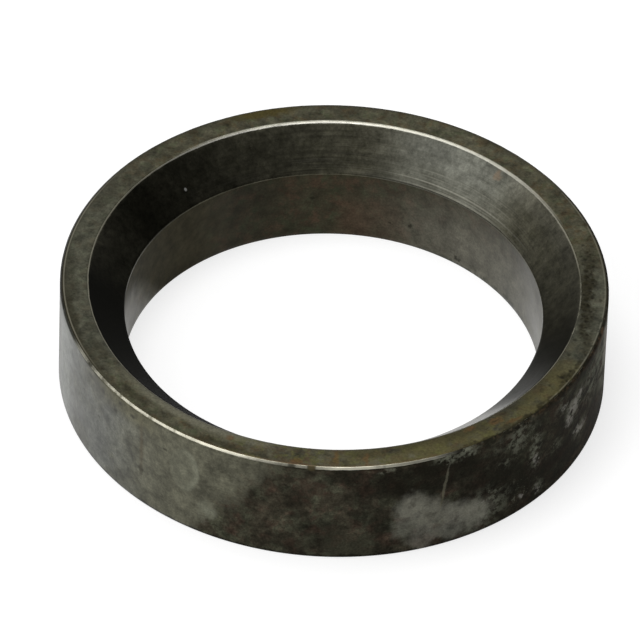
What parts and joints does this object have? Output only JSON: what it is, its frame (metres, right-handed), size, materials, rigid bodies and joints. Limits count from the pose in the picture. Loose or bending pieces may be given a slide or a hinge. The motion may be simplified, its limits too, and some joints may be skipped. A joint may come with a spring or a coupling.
{
  "type": "spacer ring",
  "caption": "Turned steel spacer ring with a straight bore and a wide 45 degree countersink at its upper mouth.",
  "frame": {"origin": "centre of the plain bottom face, on the axis of the bore", "axes": "+Z along the axis of the ring, from the plain face to the countersunk face"},
  "size_m": [0.1, 0.1, 0.0218],
  "materials": {
    "turned_steel": "dull turned steel, oiled and darkened, with scale and specks of rust"
  },
  "bodies": {
    "root": {"spacer_ring": "turned_steel"}
  },
  "joints": []
}
